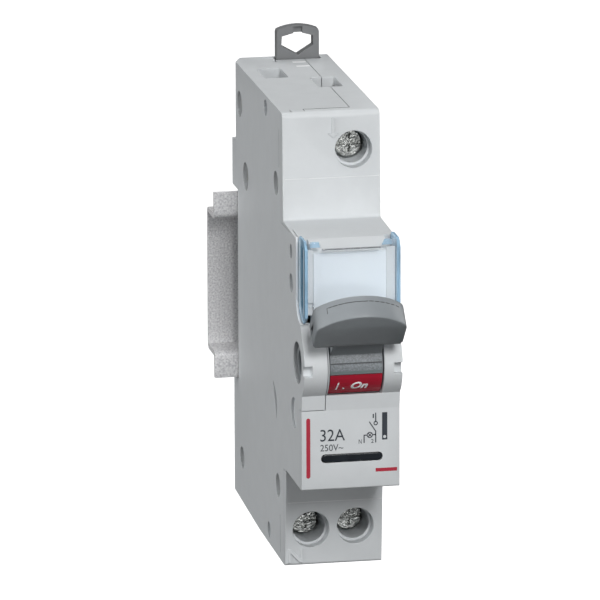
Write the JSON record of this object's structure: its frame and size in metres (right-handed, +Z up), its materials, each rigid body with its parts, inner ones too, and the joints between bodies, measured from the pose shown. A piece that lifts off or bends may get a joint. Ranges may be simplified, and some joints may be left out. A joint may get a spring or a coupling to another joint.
{
  "type": "din rail switch disconnector",
  "caption": "Slim box-shaped switch disconnector on a short top-hat rail: raised lever handle, hinged clear label cover, clamp terminals, sliding rail clips and indicator lens.",
  "frame": {"origin": "centre of the rail web's flat back face, which lies on the panel", "axes": "+X to the right along the rail, +Y back into the panel, +Z up; the handle faces -Y"},
  "size_m": [0.0264, 0.0815, 0.0903],
  "materials": {
    "rail_zinc": "galvanised",
    "case": "fine matt moulding",
    "toggle": "fine matt moulding",
    "band_on": "satin",
    "band_off": "satin",
    "cover_clear": "clear, faintly blue",
    "paper": "uncoated card",
    "clip": "satin",
    "zinc": "zinc plated",
    "copper": "plain copper",
    "silver": "satin silver alloy",
    "steel": "plain",
    "lens": "dark, glossy",
    "lamp_glass": "clear",
    "ceramic": "matt coating",
    "lead": "insulated sleeve"
  },
  "bodies": {
    "rail": {"din_rail_section": "rail_zinc"},
    "housing": {"housing_left_shell": "case", "housing_right_shell": "case", "rivet_1": "zinc", "rivet_2": "zinc", "rivet_3": "zinc", "rivet_4": "zinc", "rivet_5": "zinc", "label_card": "paper", "indicator_lens": "lens", "indicator_lamp": "lamp_glass", "lamp_resistor": "ceramic", "lamp_lead": "lead", "lamp_lead_n": "lead", "lamp_lead_2": "lead", "terminal_bar_1": "copper", "terminal_bar_n": "copper", "terminal_bar_2": "copper", "fixed_contact": "silver", "carrier_pin": "steel", "contact_spring": "steel", "braid": "copper"},
    "toggle": {"toggle_handle": "toggle", "on_band": "band_on", "off_band": "band_off"},
    "link": {"link_rod": "steel"},
    "carrier": {"contact_carrier": "clip", "moving_blade": "copper", "moving_contact": "silver"},
    "cover": {"label_cover": "cover_clear"},
    "upper_clip": {"upper_clip": "clip"},
    "lower_clip": {"lower_clip": "clip"},
    "screw_1": {"terminal_screw_1": "zinc"},
    "screw_n": {"terminal_screw_n": "zinc"},
    "screw_2": {"terminal_screw_2": "zinc"},
    "cage_1": {"terminal_cage_1": "zinc"},
    "cage_n": {"terminal_cage_n": "zinc"},
    "cage_2": {"terminal_cage_2": "zinc"}
  },
  "joints": [
    {"name": "rail_slide", "type": "slide", "parent": "rail", "child": "housing", "axis": [1, 0, 0], "range_m": [-0.00435, 0.00435]},
    {"name": "toggle_swing", "type": "hinge", "parent": "housing", "child": "toggle", "pos_m": [0, -0.0648, -0.0006], "axis": [1, 0, 0], "range_deg": [0, 78]},
    {"name": "carrier_pivot", "type": "hinge", "parent": "housing", "child": "carrier", "pos_m": [0, -0.0435, -0.009], "axis": [1, 0, 0], "range_deg": [0, 22.5], "deforming": ["contact_spring", "braid"]},
    {"name": "link_pivot", "type": "hinge", "parent": "toggle", "child": "link", "pos_m": [-0.0011, -0.06228, 0.00251], "axis": [1, 0, 0], "range_deg": [-75, 0]},
    {"name": "cover_hinge", "type": "hinge", "parent": "housing", "child": "cover", "pos_m": [0, -0.0673, 0.0108], "axis": [1, 0, 0], "range_deg": [0, 45]},
    {"name": "upper_clip_slide", "type": "slide", "parent": "housing", "child": "upper_clip", "axis": [0, 0, 1], "range_m": [-0.0037, 0]},
    {"name": "lower_clip_slide", "type": "slide", "parent": "housing", "child": "lower_clip", "axis": [0, 0, 1], "range_m": [-0.0037, 0]},
    {"name": "screw_turn_1", "type": "hinge", "parent": "housing", "child": "screw_1", "pos_m": [0.00405, -0.0458, 0.0346], "axis": [0, 1, 0], "range_deg": [0, 1800]},
    {"name": "screw_turn_n", "type": "hinge", "parent": "housing", "child": "screw_n", "pos_m": [-0.00415, -0.0458, -0.0347], "axis": [0, 1, 0], "range_deg": [0, 1800]},
    {"name": "screw_turn_2", "type": "hinge", "parent": "housing", "child": "screw_2", "pos_m": [0.00395, -0.0458, -0.0344], "axis": [0, 1, 0], "range_deg": [0, 1800]},
    {"name": "cage_slide_1", "type": "slide", "parent": "housing", "child": "cage_1", "axis": [0, -1, 0], "range_m": [0, 0.004]},
    {"name": "cage_slide_n", "type": "slide", "parent": "housing", "child": "cage_n", "axis": [0, -1, 0], "range_m": [0, 0.004]},
    {"name": "cage_slide_2", "type": "slide", "parent": "housing", "child": "cage_2", "axis": [0, -1, 0], "range_m": [0, 0.004]}
  ],
  "couplings": [
    {"joint": "carrier_pivot", "follows": "toggle_swing", "ratio": 0.28205},
    {"joint": "link_pivot", "follows": "toggle_swing", "ratio": -0.95},
    {"joint": "screw_turn_1", "follows": "cage_slide_1", "rad_per_m": 7854},
    {"joint": "screw_turn_n", "follows": "cage_slide_n", "rad_per_m": 7854},
    {"joint": "screw_turn_2", "follows": "cage_slide_2", "rad_per_m": 7854}
  ]
}
